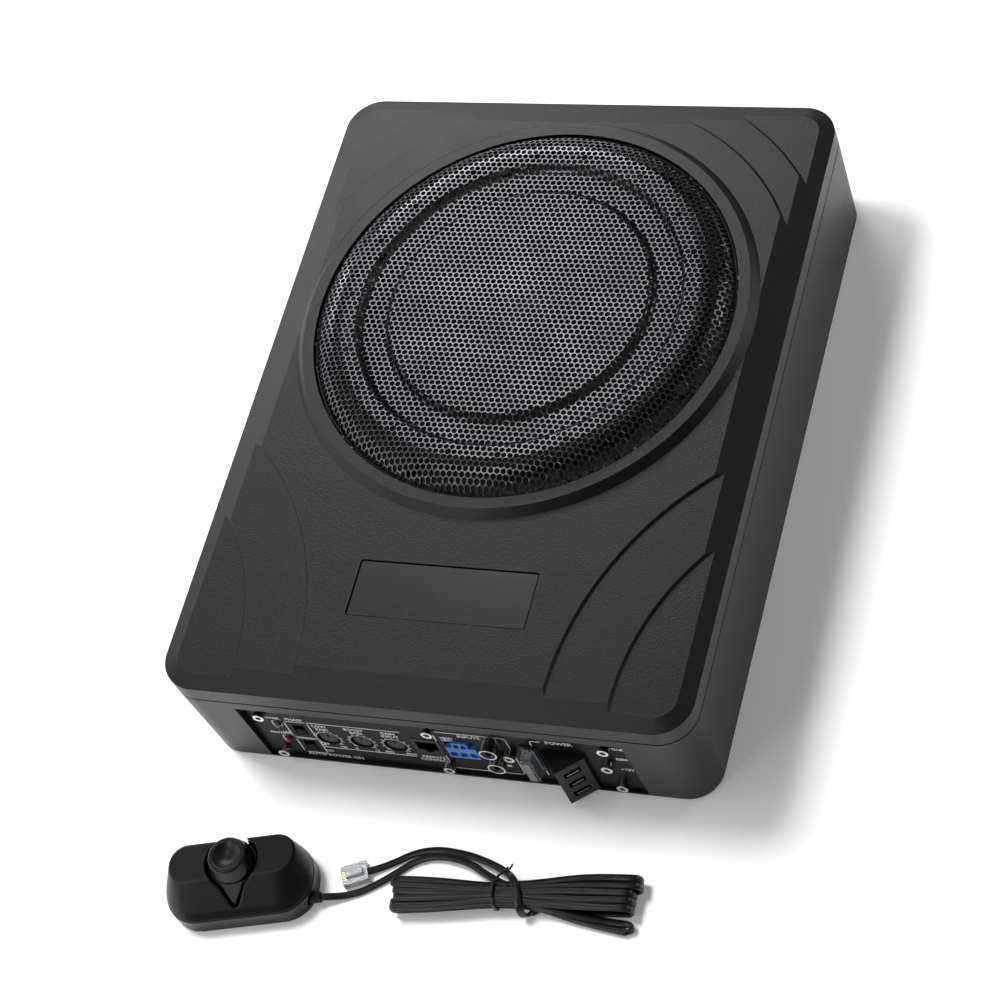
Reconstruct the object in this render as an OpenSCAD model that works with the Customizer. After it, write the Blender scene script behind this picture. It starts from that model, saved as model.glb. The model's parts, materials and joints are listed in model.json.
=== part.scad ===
// Powered car subwoofer: a shallow under-seat case with its driver, amplifier
// and wired level remote. The case stands on z = 0 with the grille up (+Z) and
// the control panel facing -Y. The origin is the centre of the case's underside.

/* [Case] */
// Width of the case across the top cover
case_w = 250; // [246:1:256]
// Length of the case from the control panel to the back
case_l = 333; // [333:1:345]
// Height of the joint between the two shells
seam_z = 56; // [55:0.5:58]
// Height at which the cover's skirt ends and its slope begins
skirt_top_z = 65.5; // [65:0.5:67]
// Radius of the case's upright corners
corner_r = 17; // [14:1:22]
// How far each side of the lower shell leans in at the base
taper = 2; // [1:0.5:3]
// Wall thickness of both shells
wall = 3; // [2.5:0.1:3.4]

/* [Cover] */
// Slope of the cover's edge, run for a rise of one
slope_run = 3.2; // [3:0.1:3.4]
// Height of the raised centre panel
panel_top_z = 70.1; // [69.8:0.1:70.4]
// Height of each step at the corners
step_h = 1.2; // [0.8:0.1:1.3]
// Distance of the grille's centre behind the case's centre
driver_y = 39.5; // [38:0.5:41]
// Outer radius of the raised ring around the grille
ring_r = 112; // [110.5:0.5:113]
// Height of the ring's flat top
ring_top_z = 73.7; // [73:0.1:74.4]
// Radius of the grille's rim
grille_r = 101.8; // [101:0.2:102.2]
// Length of the badge plate across the cover
badge_l = 84.6; // [80:0.5:88]
// Width of the badge plate
badge_w = 27.6; // [26:0.2:28.6]

/* [Control panel] */
// Width of the control panel plate
plate_w = 183; // [181:1:184]
// Height of the control panel plate
plate_h = 47; // [46:0.5:47.4]
// Radius of the rotary knobs
knob_r = 4.4; // [4:0.1:4.8]
// How far the phono sockets stand out
rca_out = 7; // [6:0.5:9]
// How far the panel screws' heads stand out
screw_out = 4.4; // [3:0.2:5]

/* [Remote] */
// Length of the level remote
remote_l = 70; // [66:1:74]
// Depth of the level remote
remote_d = 35; // [34:1:38]
// Height of the level remote without its knob
remote_h = 22; // [21:0.5:24]
// Width of the remote's flat cord
cord_w = 3.4; // [2.5:0.1:4]

/* [Hidden] */
$fn = 72;
eps = 0.01;

// Case
tub_top = seam_z - 0.4;
cover_z = seam_z + 0.4;
side_x = case_w / 2;
front_y = -case_l / 2;
step2_z = panel_top_z - step_h;
step1_z = panel_top_z - 2 * step_h;
slope_inset = slope_run * (panel_top_z - skirt_top_z);
post_at = [[-111, -148], [111, -148], [-111, 150], [111, 150], [-113, -14], [113, -14]];

// Corner steps: the front arcs bow towards the middle, the rear arcs follow the ring
front_arc = [210.5, -case_l / 2 + 11.5];
front_arc_r = [121, 151];
rear_arc_r = [143, 127];

// Control panel
plate_y = front_y + 3.7;
plate_t = 1.5;
plate_back = plate_y + plate_t;
plate_z = 26;
frame_t = 4;
screw_at = [[-82, 10], [0, 10], [82, 10], [-82, 44], [0, 44], [82, 44]];
trim_screw_at = [[34, 28], [79.5, 27.5]];
led_at = [[-78, 32], [-77.5, 18]];
switch_at = [[-68.5, 27.5], [-68.5, 12.8]];
switch_travel = 4;
knob_at = [[-56.5, 21.5], [-40, 21.5], [-23.5, 21.5]];
jack_at = [-7.2, 23.6];
level_at = [10, 24.6];
rca_at = [[27.3, 36], [27.3, 22.5]];
rca_r = 4.15;
fuse_at = [43.8, 24.4];
block_z = [3.2, 32];
block_left = 48.5;
block_apex = [58, plate_y - 10.8];
block_right = 69.4;
clamp_z = [25.7, 17.3, 8.9];

// Driver, all heights from the case's underside
baffle_z = 63;
basket_r = 95.5;
cone_r = 74;
coil_r = 20;
gap_z = 25;

// Remote and its cord
remote_at = [-84, -232];
remote_yaw = 14;
band_h = 9.5;
well_at = [0, 5];
well_r = 12.4;
knob_seat_z = 19;
cord_t = 1.8;
hank_at = [43, -220.5];
hank_yaw = 6.7;
hank_z = [0.9, 9.4];
loose_loop = [36, -10.5, 42, 14];
plug_at = [-33.6, -218.6];
plug_yaw = 25;

lead_route = [[-47.6, -232.2, 4], [-44.6, -231.5, 3.8], [-42, -230.8, 3.2], [-39, -229.8, 2.2], [-34, -228, 1.3], [-28, -225, 1],
    [-21, -220, 1], [-14, -214, 1], [-8, -209, 1.2], [-1, -206, 1.8], [7, -205.4, 2.6],
    [15, -206.6, 3.6], [22, -209, 4.6], [27, -211.6, 5], [30.5, -213.9, 5]];
plug_route = [[-29.7, -216.8, 2], [-26.8, -215.5, 1.8], [-22, -212.9, 1.2], [-16, -209.2, 1], [-10, -205.4, 1],
    [-4, -203, 1], [3, -201.9, 1.2], [11, -202.4, 2], [19, -203.8, 3.2], [27, -206.2, 4.6],
    [34, -208.8, 5.6], [38.4, -211, 6]];

// ---------------------------------------------------------------- shared shapes
module rounded(w, l, r) {
    square([w - 2 * r, l], center = true);
    square([w, l - 2 * r], center = true);
    for (x = [-1, 1], y = [-1, 1])
        translate([x * (w / 2 - r), y * (l / 2 - r)]) circle(r);
}

module case_slab(z, inset, h = eps)
    translate([0, 0, z])
        linear_extrude(h)
            rounded(case_w - 2 * inset, case_l - 2 * inset, max(corner_r - inset, 2), $fn = 40);

module block(x0, x1, y0, y1, z0, z1)
    translate([x0, y0, z0]) cube([x1 - x0, y1 - y0, z1 - z0]);

// A round bar along Y between two depths, at a point [x, z] of the panel
module bar_y(at, y0, y1, r)
    translate([at[0], y0, at[1]]) rotate([-90, 0, 0]) cylinder(h = y1 - y0, r = r);

module post(at, z0, z1, r)
    translate([at[0], at[1], z0]) cylinder(h = z1 - z0, r = r);

// A turned part around the driver's axis
module turned(points)
    translate([0, driver_y, 0]) rotate_extrude($fn = 120) polygon(points);

module ring_of(count, r, start = 0)
    for (i = [0 : count - 1])
        translate([0, driver_y, 0]) rotate([0, 0, start + i * 360 / count]) translate([r, 0, 0]) children();

module on_remote()
    translate([remote_at[0], remote_at[1], 0]) rotate([0, 0, remote_yaw]) children();

module on_hank()
    translate([hank_at[0], hank_at[1], 0]) rotate([0, 0, hank_yaw]) children();

module on_plug()
    translate([plug_at[0], plug_at[1], 0]) rotate([0, 0, plug_yaw]) children();

// ---------------------------------------------------------------- case
module lower_enclosure() color([0.09, 0.09, 0.1]) {
    difference() {
        union() {
            difference() {
                hull() {
                    case_slab(0, taper + 0.9);
                    case_slab(1.1, taper);
                    case_slab(tub_top - eps, 0);
                }
                hull() {
                    case_slab(wall, taper + wall);
                    case_slab(tub_top + 1, wall);
                }
            }
            difference() {
                block(-96, 96, plate_y, plate_back + frame_t, 1.5, 53);
                block(-86, 86, plate_y - 1, plate_back + frame_t + 1, 5.5, 48.5);
            }
            for (p = screw_at)
                block(p[0] - 4, p[0] + 4, plate_back, plate_back + frame_t, p[1] < 20 ? 4 : p[1] - 4, p[1] < 20 ? p[1] + 4 : 50);
            for (p = post_at)
                post(p, wall - 0.5, tub_top, 5);
        }
        block(-plate_w / 2 - 0.3, plate_w / 2 + 0.3, front_y - 5, plate_back, plate_z - plate_h / 2 - 0.3, plate_z + plate_h / 2 + 0.3);
        for (p = screw_at)
            bar_y(p, plate_back - 1, plate_back + frame_t + 1, 1.5);
        for (p = post_at) {
            post(p, -1, 42, 3.9);
            post(p, 41, tub_top + 1, 2.05);
        }
    }
}

module cover_screws() color("silver")
    for (p = post_at) {
        difference() {
            post(p, 39.4, 42, 3.5);
            for (a = [0, 90])
                translate([p[0], p[1], 39.3]) rotate([0, 0, a]) cube([4, 0.9, 2.2], center = true);
        }
        post(p, 42, 61, 1.95);
    }

module lid_seal() color([0.03, 0.03, 0.03])
    difference() {
        case_slab(tub_top, 1, cover_z - tub_top);
        translate([0, 0, -1]) case_slab(tub_top, wall - 0.6, cover_z - tub_top + 2);
    }

// One corner's step: everything above z on the corner's side of the front arc
module front_step(z, r) {
    h = panel_top_z - z + 1;
    for (s = [-1, 1])
        translate([s * front_arc[0], front_arc[1], z]) {
            cylinder(h = h, r1 = r, r2 = r + h, $fn = 160);
            rotate([90, 0, 0]) linear_extrude(20)
                polygon([[-r, 0], [r, 0], [r + h, h], [-r - h, h]]);
        }
}

module rear_step(z, r) {
    h = panel_top_z - z + 1;
    difference() {
        block(-side_x, side_x, driver_y + 45, case_l / 2 + 5, z, z + h);
        translate([0, driver_y, z - eps]) cylinder(h = h + 1, r1 = r, r2 = r - h - 1, $fn = 160);
    }
}

module top_cover() color([0.1, 0.1, 0.11]) {
    difference() {
        union() {
            difference() {
                union() {
                    case_slab(cover_z, 0, skirt_top_z - cover_z);
                    hull() {
                        case_slab(skirt_top_z - eps, 0);
                        case_slab(panel_top_z - eps, slope_inset);
                    }
                }
                front_step(step1_z, front_arc_r[0]);
                front_step(step2_z, front_arc_r[1]);
                rear_step(step1_z, rear_arc_r[0]);
                rear_step(step2_z, rear_arc_r[1]);
            }
            turned([[90, baffle_z], [ring_r, panel_top_z - 1], [ring_r - 0.6, panel_top_z],
                [ring_r - 4.4, ring_top_z], [90, ring_top_z]]);
        }
        difference() {
            hull() {
                case_slab(cover_z - 1, wall);
                case_slab(62.5, wall);
                case_slab(64.9, wall + 7);
            }
            post([0, driver_y], 50, 80, ring_r - 4);
            for (p = post_at)
                post(p, cover_z - 2, 70, 5);
        }
        turned([[0, cover_z - 2], [104, cover_z - 2], [104, 60], [86, 60], [86, baffle_z], [96.5, baffle_z],
            [96.5, 69.3], [grille_r + 0.3, 69.3], [grille_r + 0.3, 80], [0, 80]]);
        for (p = post_at)
            post(p, cover_z - 1, 62, 2.05);
        ring_of(8, 91, 22.5) post([0, 0], 58, 64, 1.6);
        translate([0, -110.4, panel_top_z - 1.6]) linear_extrude(5) rounded(badge_l + 1, badge_w + 1, 1.4);
    }
}

module grille() color([0.35, 0.35, 0.36])
    turned([[96, 69.4], [grille_r, 69.4], [grille_r, 71.6], [100.8, 74.6], [98.2, 77.4],
        [94.4, 79.4], [90, 80.4], [86, 80.6], [78.6, 80.6], [77, 77.6], [64, 77.6], [62.4, 80.6], [0, 80.6],
        [0, 79.6], [61.9, 79.6], [63.5, 76.6], [77.5, 76.6], [79.2, 79.6], [86, 79.6], [89.8, 79.4],
        [93.8, 78.4], [97.4, 76.6], [99.8, 74.2], [100.8, 71.4], [100.8, 70.4], [96, 70.4]]);

module badge_plate() color([0.07, 0.07, 0.07])
    translate([0, -110.4, panel_top_z - 1.6]) linear_extrude(1.1) rounded(badge_l, badge_w, 1);

// ---------------------------------------------------------------- control panel
module control_panel() color([0.08, 0.08, 0.085])
    difference() {
        block(-plate_w / 2, plate_w / 2, plate_y, plate_back, plate_z - plate_h / 2, plate_z + plate_h / 2);
        for (p = concat(screw_at, trim_screw_at))
            bar_y(p, plate_y - 1, plate_back + 1, 1.5);
        for (p = led_at)
            bar_y(p, plate_y - 1, plate_back + 1, 1.6);
        for (p = knob_at)
            bar_y(p, plate_y - 1, plate_back + 1, knob_r + 0.7);
        for (p = rca_at)
            bar_y(p, plate_y - 1, plate_back + 1, rca_r - 0.15);
        for (p = switch_at)
            block(p[0] - 2.9, p[0] + 2.9, plate_y - 1, plate_back + 1, p[1] - 4.4, p[1] + 4.4);
        block(jack_at[0] - 7.2, jack_at[0] + 7.2, plate_y - 1, plate_back + 1, jack_at[1] - 7.2, jack_at[1] + 7.2);
        block(level_at[0] - 7.4, level_at[0] + 7.4, plate_y - 1, plate_back + 1, level_at[1] - 6.5, level_at[1] + 7.7);
        block(fuse_at[0] - 3.4, fuse_at[0] + 3.4, plate_y - 1, plate_back + 1, fuse_at[1] - 10.4, fuse_at[1] + 10.4);
        block(block_left + 4, block_right - 4, plate_y - 1, plate_back + 1, block_z[0] + 3, block_z[1] - 3);
    }

module panel_screws() color("silver")
    for (p = concat(screw_at, trim_screw_at))
        difference() {
            union() {
                bar_y(p, plate_y - screw_out, plate_y, 2.7);
                bar_y(p, plate_y, plate_back + frame_t - 0.5, 1.45);
            }
            translate([p[0], plate_y - screw_out - 1, p[1]]) rotate([-90, 0, 0]) cylinder(h = 3.2, r = 1.5, $fn = 6);
        }

module led(at) {
    bar_y(at, plate_y - 0.6, plate_back, 1.5);
    bar_y(at, plate_back, plate_back + 3.6, 1.9);
    translate([at[0], plate_y - 0.6, at[1]]) sphere(1.5, $fn = 48);
}

module power_led() color([0.8, 0.82, 0.85]) led(led_at[0]);

module protect_led() color([0.85, 0.1, 0.1]) led(led_at[1]);

module switch_housings() color([0.15, 0.15, 0.16])
    for (p = switch_at)
        difference() {
            block(p[0] - 4.3, p[0] + 4.3, plate_back, plate_back + 5.6, p[1] - 6.6, p[1] + 6.6);
            block(p[0] - 2.6, p[0] + 2.6, plate_back - 1, plate_back + 4, p[1] - 4.3, p[1] + 4.3);
        }

module switch_slider(at) {
    z = at[1] - switch_travel / 2;
    block(at[0] - 2.2, at[0] + 2.2, plate_y + 0.2, plate_back + 3.6, z - 2, z + 2);
    for (k = [-1.3, 0, 1.3])
        block(at[0] - 2.2, at[0] + 2.2, plate_y - 0.2, plate_y + 0.3, z + k - 0.3, z + k + 0.3);
}

module phase_slider() color([0.06, 0.06, 0.06]) switch_slider(switch_at[0]);

module auto_power_slider() color([0.06, 0.06, 0.06]) switch_slider(switch_at[1]);

module potentiometers() color([0.2, 0.3, 0.25])
    for (p = knob_at)
        difference() {
            union() {
                block(p[0] - 7.6, p[0] + 7.6, plate_back + 2.6, plate_back + 11, p[1] - 7.6, p[1] + 7.6);
                bar_y(p, plate_back + 1.8, plate_back + 3, 3.2);
            }
            bar_y(p, plate_back + 1, plate_back + 9, 1.55);
        }

module knob(at)
    difference() {
        union() {
            bar_y(at, plate_y + 0.5, plate_back + 1.5, knob_r);
            bar_y(at, plate_back + 1.5, plate_back + 8.6, 1.5);
        }
        for (i = [0 : 11])
            translate([at[0], plate_y, at[1]]) rotate([0, i * 30, 0]) translate([0, 0, knob_r + 0.35])
                rotate([-90, 0, 0]) translate([0, 0, -1]) cylinder(h = 4.2, r = 0.8, $fn = 20);
        block(at[0] - 0.4, at[0] + 0.4, plate_y, plate_y + 1, at[1] + 0.6, at[1] + 3.4);
    }

module low_pass_knob() color([0.05, 0.05, 0.05]) knob(knob_at[0]);

module bass_boost_knob() color([0.05, 0.05, 0.05]) knob(knob_at[1]);

module input_gain_knob() color([0.05, 0.05, 0.05]) knob(knob_at[2]);

module remote_jack() color([0.04, 0.04, 0.04])
    difference() {
        block(jack_at[0] - 7, jack_at[0] + 7, plate_y - 0.2, plate_back + 11, jack_at[1] - 7, jack_at[1] + 7);
        block(jack_at[0] - 5, jack_at[0] + 5, plate_y - 1, plate_back + 8, jack_at[1] - 2.8, jack_at[1] + 4.4);
        block(jack_at[0] - 2, jack_at[0] + 2, plate_y - 1, plate_back + 8, jack_at[1] - 4.8, jack_at[1]);
    }

module speaker_level_connector() color([0.25, 0.45, 0.85])
    difference() {
        union() {
            block(level_at[0] - 7.2, level_at[0] + 7.2, plate_y - 1.2, plate_back + 9, level_at[1] - 6.3, level_at[1] + 3);
            block(level_at[0] - 3.8, level_at[0] + 3.8, plate_y - 1.2, plate_back + 9, level_at[1] + 2, level_at[1] + 7.5);
        }
        for (x = [-4.7, 0, 4.7])
            block(level_at[0] + x - 1.7, level_at[0] + x + 1.7, plate_y - 2, plate_back + 6, level_at[1] - 5.2, level_at[1] - 1.4);
        for (x = [-1.7, 1.7])
            block(level_at[0] + x - 1.2, level_at[0] + x + 1.2, plate_y - 2, plate_back + 6, level_at[1] + 2.6, level_at[1] + 6);
    }

module socket_contacts() color([0.85, 0.7, 0.35]) {
    for (x = [-4.7, 0, 4.7])
        block(level_at[0] + x - 0.4, level_at[0] + x + 0.4, plate_y + 1, plate_back + 6, level_at[1] - 3.7, level_at[1] - 2.9);
    for (x = [-1.7, 1.7])
        block(level_at[0] + x - 0.4, level_at[0] + x + 0.4, plate_y + 1, plate_back + 6, level_at[1] + 3.9, level_at[1] + 4.7);
    for (k = [-2 : 1])
        block(jack_at[0] + k * 1.27 + 0.4, jack_at[0] + k * 1.27 + 0.9, plate_back + 0.5, plate_back + 8, jack_at[1] + 3.7, jack_at[1] + 4.3);
}

module rca_block() color([0.04, 0.04, 0.04])
    difference() {
        block(rca_at[0][0] - 7, rca_at[0][0] + 5, plate_back, plate_back + 13, rca_at[1][1] - 7, rca_at[0][1] + 7);
        for (p = rca_at)
            bar_y(p, plate_back - 1, plate_back + 5, rca_r - 0.2);
    }

module rca_shells() color([0.85, 0.85, 0.86])
    for (p = rca_at)
        difference() {
            union() {
                bar_y(p, plate_y - rca_out, plate_y - 0.2, rca_r);
                bar_y(p, plate_y - 0.2, plate_back + 5, rca_r - 0.2);
            }
            bar_y(p, plate_y - rca_out - 1, plate_back + 6, rca_r - 0.7);
        }

module rca_inserts() color([0.1, 0.1, 0.1])
    for (p = rca_at)
        difference() {
            bar_y(p, plate_y - rca_out + 0.5, plate_back + 5, rca_r - 0.7);
            bar_y(p, plate_y - rca_out - 1, plate_back + 3, 1.6);
        }

module fuse_holder() color([0.05, 0.05, 0.05])
    difference() {
        union() {
            block(fuse_at[0] - 3.3, fuse_at[0] + 3.3, plate_y, plate_back + 14, fuse_at[1] - 10.3, fuse_at[1] + 10.3);
            block(fuse_at[0] - 3.9, fuse_at[0] + 3.9, plate_y - 0.8, plate_y, fuse_at[1] - 11, fuse_at[1] + 11);
        }
        for (s = [-1, 1])
            block(fuse_at[0] - 0.7, fuse_at[0] + 0.7, plate_y - 2, plate_back + 12, fuse_at[1] + s * 7 - 3, fuse_at[1] + s * 7 + 3);
    }

module blade_fuse() color([0.8, 0.82, 0.84], 0.6) {
    block(fuse_at[0] - 2.5, fuse_at[0] + 2.5, plate_y - 7, plate_y - 1.1, fuse_at[1] - 9.2, fuse_at[1] + 9.2);
    block(fuse_at[0] - 1.8, fuse_at[0] + 1.8, plate_y - 8, plate_y - 6.5, fuse_at[1] - 8, fuse_at[1] + 8);
    for (s = [-1, 1])
        block(fuse_at[0] - 0.35, fuse_at[0] + 0.35, plate_y - 1.5, plate_back + 11, fuse_at[1] + s * 7 - 2.6, fuse_at[1] + s * 7 + 2.6);
}

// The wire side of the terminal block faces right and forwards
face_dir = [block_right - block_apex[0], plate_y - 1.8 - block_apex[1]];
face_len = sqrt(face_dir[0] * face_dir[0] + face_dir[1] * face_dir[1]);
face_a = atan2(face_dir[1], face_dir[0]);

// Places children with X along the wire face, Y into the block, at mid-face
module on_wire_face(z)
    translate([block_apex[0], block_apex[1], z]) rotate([0, 0, face_a]) translate([face_len / 2, 0, 0]) children();

module terminal_block() color([0.06, 0.06, 0.065])
    difference() {
        union() {
            translate([0, 0, block_z[0]]) linear_extrude(block_z[1] - block_z[0])
                polygon([[block_left, plate_y], block_apex, [block_right, plate_y - 1.8], [block_right, plate_y]]);
            block(block_left + 4.3, block_right - 4.3, plate_y - eps, plate_back + 8, block_z[0] + 3.3, block_z[1] - 3.3);
        }
        for (z = clamp_z) {
            on_wire_face(z) block(-4, 4, -1, 5.6, -1.9, 1.9);
            translate([block_left + 5, (plate_y + block_apex[1]) / 2, z]) rotate([0, 0, -49]) rotate([90, 0, 0])
                cylinder(h = 8, r = 2.2, center = true);
        }
    }

module terminal_clamps() color([0.85, 0.85, 0.85])
    for (z = clamp_z)
        on_wire_face(z) {
            block(-3, 3, 0.5, 5.6, -1.9, -1.1);
            block(-3, 3, 5, 5.6, -1.2, 1.6);
        }

module terminal_screws() color("silver")
    for (z = clamp_z)
        translate([block_left + 5, (plate_y + block_apex[1]) / 2, z]) rotate([0, 0, -49]) rotate([90, 0, 0])
            difference() {
                translate([0, 0, -3.2]) cylinder(h = 2.4, r = 2.1);
                translate([0, 0, -1]) cube([5, 0.7, 1.4], center = true);
            }

// ---------------------------------------------------------------- amplifier
board_z = 9;
board_y = [plate_back + 14.5, -74];

module amplifier_board() color([0.1, 0.35, 0.15])
    difference() {
        block(-88, 88, board_y[0], board_y[1], board_z, board_z + 1.6);
        for (x = [-83, 83], y = [board_y[0] + 5, board_y[1] - 5])
            post([x, y], board_z - 1, board_z + 3, 1.7);
    }

module board_screws() color("silver")
    for (x = [-83, 83], y = [board_y[0] + 5, board_y[1] - 5]) {
        difference() {
            post([x, y], wall, board_z, 3);
            post([x, y], wall - 1, board_z + 1, 1.65);
        }
        post([x, y], wall, board_z + 1.6, 1.6);
        post([x, y], board_z + 1.6, board_z + 3.6, 2.8);
    }

module toroid_transformer() color([0.75, 0.4, 0.15])
    translate([-55, -112, board_z + 1.6]) rotate_extrude()
        translate([15, 8.6]) circle(8.6);

module filter_capacitors() color([0.1, 0.15, 0.3])
    for (p = [[-18, -122], [4, -122], [-18, -98], [4, -98]])
        post(p, board_z + 1.6, board_z + 31.6, 9);

module power_transistors() color([0.08, 0.08, 0.08])
    for (x = [28, 41, 54, 67]) {
        block(x - 5, x + 5, -121.5, -117, board_z + 6, board_z + 22);
        for (k = [-2.5, 0, 2.5])
            block(x + k - 0.4, x + k + 0.4, -119.7, -118.9, board_z + 1.6, board_z + 6.5);
    }

module heatsink_bar() color([0.7, 0.7, 0.72]) {
    block(20, 76, -117, -112, board_z + 1.6, board_z + 30);
    for (i = [0 : 7])
        block(20 + i * 7.6, 21.6 + i * 7.6, -112.5, -98, board_z + 1.6, board_z + 30);
}

// ---------------------------------------------------------------- driver
module driver_basket() color([0.12, 0.12, 0.13])
    difference() {
        turned([[basket_r, baffle_z + 0.8], [basket_r, baffle_z + 2.3], [84, baffle_z + 2.3], [84, 52],
            [64, 38.4], [57, 38.4], [57, 36.8], [60, 36.4], [53, 32], [25, 32], [25, 30], [54, 30], [85.7, 50.2],
            [85.7, baffle_z + 0.8]]);
        ring_of(8, 74) translate([0, 0, 45]) cube([18, 34, 10], center = true);
        ring_of(8, 91, 22.5) post([0, 0], 60, 70, 2.2);
    }

module driver_gasket() color([0.04, 0.04, 0.04])
    difference() {
        turned([[86.2, baffle_z], [basket_r, baffle_z], [basket_r, baffle_z + 0.8], [86.2, baffle_z + 0.8]]);
        ring_of(8, 91, 22.5) post([0, 0], 60, 70, 2.2);
    }

module driver_screws() color([0.2, 0.2, 0.2]) {
    ring_of(8, 91, 22.5) post([0, 0], baffle_z + 2.3, baffle_z + 4.4, 3.6);
    ring_of(8, 91, 22.5) post([0, 0], 58.5, baffle_z + 2.4, 1.55);
}

module driver_terminals() color([0.8, 0.65, 0.3])
    for (x = [-7, 7])
        block(x - 3, x + 3, driver_y - 55.5, driver_y - 54.5, 22, 30.3);

module speaker_wires() color([0.6, 0.1, 0.1])
    for (x = [-7, 7])
        translate([x, 0, 0]) rotate([90, 0, 90]) linear_extrude(1.8, center = true)
            polygon([[driver_y - 55.5, 23.4], [-50, 15.4], [-74.5, 15.4], [-76, 14], [-76, 10.6],
                [-78, 10.6], [-78, 15.4], [-76, 17.4], [-49.5, 17.4], [driver_y - 55.5, 25.4]]);

module cone() color([0.05, 0.05, 0.05])
    turned([[coil_r + 0.3, 44], [45, 53.5], [cone_r + 2, 63.6], [cone_r + 2, 64.6], [cone_r, 64.4],
        [44.5, 54.8], [coil_r + 0.3, 45.4]]);

module dust_cap() color([0.04, 0.04, 0.04])
    turned([[27.5, 48.3], [29, 48.95], [24, 52.5], [16, 55.4], [8, 56.9], [0, 57.4], [0, 56.6], [8, 56.1], [15.6, 54.7],
        [23.4, 51.9]]);

module surround() color([0.03, 0.03, 0.03])
    translate([0, driver_y, baffle_z + 2.3 + eps]) rotate_extrude($fn = 120) {
        difference() {
            translate([81.5, 0]) circle(5.2);
            translate([81.5, 0]) circle(4.3);
            translate([70, -10]) square([24, 10]);
        }
        translate([85.8, 0]) square([1.2, 0.9]);
        translate([76.05, 0]) square([1.2, 0.9]);
    }

module spider() color([0.7, 0.55, 0.3])
    turned([[coil_r + 0.6, 38.6], [24, 37.6], [28, 39.6], [32, 37.6], [36, 39.6], [40, 37.6], [44, 39.6], [48, 38.6],
        [60.6, 38.6], [60.6, 39.2], [48, 39.2], [44, 40.2], [40, 38.2], [36, 40.2], [32, 38.2], [28, 40.2],
        [24, 38.2], [coil_r + 0.6, 39.2]]);

module voice_coil() color([0.7, 0.4, 0.2])
    turned([[coil_r - 0.2, 20], [coil_r + 0.8, 20], [coil_r + 0.8, 33], [coil_r + 0.3, 33], [coil_r + 0.3, 47.5],
        [coil_r - 0.2, 47.5]]);

module top_plate() color([0.75, 0.75, 0.75])
    turned([[coil_r + 1.4, gap_z], [50, gap_z], [50, gap_z + 5], [coil_r + 1.4, gap_z + 5]]);

module magnet() color([0.12, 0.12, 0.13])
    turned([[25, 11], [52, 11], [53, 12], [53, gap_z - 1], [52, gap_z], [25, gap_z]]);

module back_plate() color([0.75, 0.75, 0.75])
    turned([[5, 5], [48, 5], [49, 6], [49, 11], [coil_r - 0.8, 11], [coil_r - 0.8, gap_z + 6], [5, gap_z + 6]]);

// ---------------------------------------------------------------- remote
module remote_outline(z, l, d, shift, r)
    translate([0, shift, z]) linear_extrude(eps) rounded(l, d, r, $fn = 40);

module remote_body(inset)
    hull() {
        remote_outline(band_h - inset * 0.4, remote_l - 2 * inset, remote_d - 2 * inset, 0, 16 - inset);
        remote_outline(band_h + 3, remote_l - 1.6 - 2 * inset, remote_d - 3.4 - 2 * inset, 1, 15.4 - inset);
        remote_outline(remote_h - 0.6 - inset, remote_l - 10 - 2 * inset, remote_d - 15.8 - 2 * inset, 6, 9 - inset);
        remote_outline(remote_h - inset - eps, remote_l - 11.4 - 2 * inset, remote_d - 17 - 2 * inset, 6, 8.4 - inset);
    }

// The V in front of the knob, wide at the well and rounded at its tip
module nose(shrink) {
    hull() {
        translate([0, -11.2 + shrink * 0.3]) circle(2.6 - shrink, $fn = 32);
        translate([0, well_at[1] - 4]) square([19 - 2 * shrink, 2], center = true);
    }
    translate(well_at) circle(well_r - shrink);
}

module remote_top() color([0.12, 0.12, 0.125])
    on_remote()
        difference() {
            remote_body(0);
            translate([0, 0, -1]) remote_body(1.8);
            translate([0, 0, band_h + 2.4]) linear_extrude(20) nose(0);
        }

module remote_base() color([0.1, 0.1, 0.105])
    on_remote()
        difference() {
            linear_extrude(band_h) rounded(remote_l, remote_d, 16);
            translate([0, 0, 2]) linear_extrude(band_h) rounded(remote_l - 4, remote_d - 4, 14);
            translate([remote_l / 2 - 5, -9, 4]) rotate([0, 90, 0]) cylinder(h = 8, r = 2.6);
            for (x = [-24, 24])
                translate([x, 3, -1]) cylinder(h = 5, r = 1.6);
        }

module remote_collar() color([0.09, 0.09, 0.095])
    on_remote()
        difference() {
            intersection() {
                translate([0, 0, 4]) linear_extrude(knob_seat_z - 4) nose(1.1);
                hull() {
                    translate([-20, -14, 4]) cube([40, 28.4, 4]);
                    translate([-20, -13, 13.4]) cube([40, 26.8, eps]);
                    translate([-20, -4, knob_seat_z - eps]) cube([40, 17.2, eps]);
                }
            }
            translate([well_at[0], well_at[1], -1]) cylinder(h = 40, r = 3.6);
            translate([well_at[0], well_at[1], 0]) cube([18, 18, 20.6], center = true);
        }

module remote_knob() color([0.11, 0.11, 0.115])
    on_remote()
        translate([well_at[0], well_at[1], 0]) {
            difference() {
                rotate_extrude() polygon([[0, knob_seat_z + 0.4], [10.7, knob_seat_z + 0.4], [10.7, knob_seat_z + 2.6],
                    [10.2, knob_seat_z + 4], [8.9, remote_h + 5.2], [8.2, remote_h + 5.8], [0, remote_h + 5.8]]);
                translate([0, 0, remote_h + 5.8 + 8]) sphere(10.4);
            }
            translate([0, 0, 11]) cylinder(h = knob_seat_z - 10.4, r = 2.95);
        }

module remote_pot() color([0.2, 0.3, 0.25])
    on_remote()
        translate([well_at[0], well_at[1], 0])
            difference() {
                union() {
                    translate([-7, -7, 3.6]) cube([14, 14, 6.4]);
                    translate([0, 0, 3]) cylinder(h = 10, r = 3.5);
                    translate([-11, -8.4, 2]) cube([22, 16.8, 1.6]);
                }
                translate([0, 0, 10.8]) cylinder(h = 9, r = 3);
            }

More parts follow.
